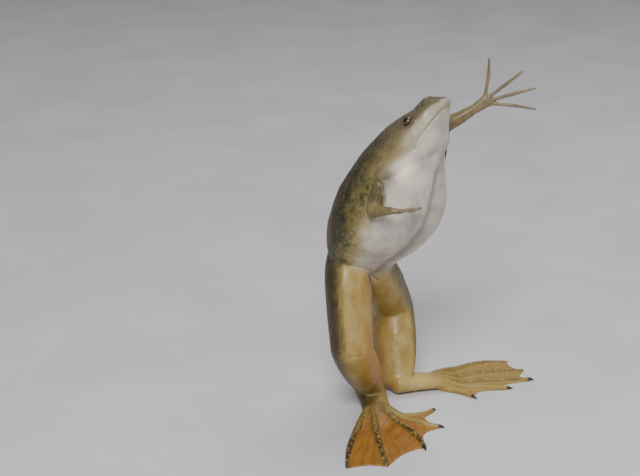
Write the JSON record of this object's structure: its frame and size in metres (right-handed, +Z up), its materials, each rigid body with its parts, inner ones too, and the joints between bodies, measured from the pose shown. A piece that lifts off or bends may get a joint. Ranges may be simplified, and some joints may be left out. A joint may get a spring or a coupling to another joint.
{
  "type": "animal figure",
  "caption": "Life-size still model of an african clawed frog standing upright on its webbed hind feet, one arm raised and one folded to its chest.",
  "frame": {"origin": "centre of the model's bounding box, at the floor under the soles", "axes": "+Z up from the floor, +X towards the side the snout and the left foot point to, -Y towards the picture's camera"},
  "size_m": [0.0988, 0.1046, 0.1569],
  "materials": {
    "back_skin": "satin",
    "belly_skin": "satin",
    "limb_skin": "satin",
    "web_skin": "satin",
    "eye": "gloss",
    "claw": "gloss"
  },
  "bodies": {
    "root": {"head": "back_skin", "lower_jaw": "belly_skin", "trunk": "back_skin", "eye_right": "eye", "eye_left": "eye", "upper_arm_right": "limb_skin", "upper_arm_left": "limb_skin", "forearm_right": "limb_skin", "forearm_left": "limb_skin", "hand_right": "limb_skin", "hand_left": "limb_skin", "thigh_right": "limb_skin", "thigh_left": "limb_skin", "shank_right": "limb_skin", "shank_left": "limb_skin", "tarsus_right": "limb_skin", "tarsus_left": "limb_skin", "foot_right": "web_skin", "foot_left": "web_skin", "claw_right_first": "claw", "claw_right_second": "claw", "claw_right_third": "claw", "claw_left_first": "claw", "claw_left_second": "claw", "claw_left_third": "claw"}
  },
  "joints": []
}
